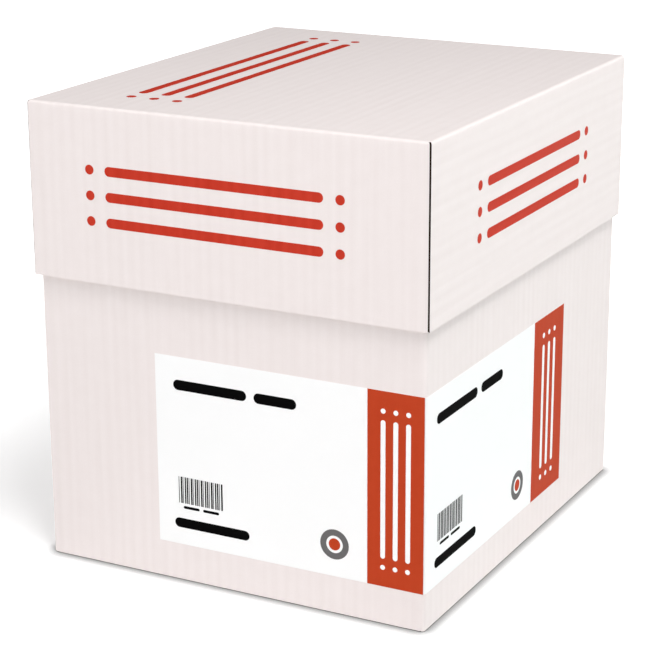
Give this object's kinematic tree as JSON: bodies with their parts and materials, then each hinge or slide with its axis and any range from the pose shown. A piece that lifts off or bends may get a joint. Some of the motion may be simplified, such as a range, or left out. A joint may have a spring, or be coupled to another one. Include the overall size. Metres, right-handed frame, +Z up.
{
  "type": "lidded carton of computer paper",
  "caption": "Corrugated carton with a lift-off tray lid, holding a fan-folded stack of green bar paper with sprocket margins; a wrap-round label carries plain bars and a red band.",
  "frame": {"origin": "on the surface that the carton stands on, under the middle of the carton", "axes": "+Z up, the front faces -Y, +X to the right as the front is looked at, depth along Y"},
  "size_m": [0.2641, 0.3003, 0.2904],
  "materials": {
    "board": "matte white-topped corrugated board with faint flute lines",
    "form_paper": "uncoated, matte",
    "label_paper": "smooth, slightly satin",
    "red_ink": "printed, matte",
    "black_ink": "printed, matte",
    "grey_ink": "printed, matte",
    "white_ink": "printed, matte",
    "green_ink": "pale printed tint, matte"
  },
  "bodies": {
    "carton": {"carton_base": "board", "paper_stack": "form_paper", "green_bars": "green_ink", "label_wrap": "label_paper", "front_red_band": "red_ink", "side_red_band": "red_ink", "front_band_mark": "white_ink", "side_band_mark": "white_ink", "front_heading": "black_ink", "side_heading": "black_ink", "front_stripes": "black_ink", "side_stripes": "black_ink", "front_code_bar": "black_ink", "side_code_bar": "black_ink", "front_seal_ring": "grey_ink", "side_seal_ring": "grey_ink", "front_seal_dot": "red_ink", "side_seal_dot": "red_ink"},
    "lid": {"lid": "board", "lid_front_mark": "red_ink", "lid_side_mark": "red_ink", "lid_top_mark": "red_ink"}
  },
  "joints": [
    {"name": "lid_lift", "type": "slide", "parent": "carton", "child": "lid", "axis": [0, 0, 1], "range_m": [0, 0.16]}
  ]
}
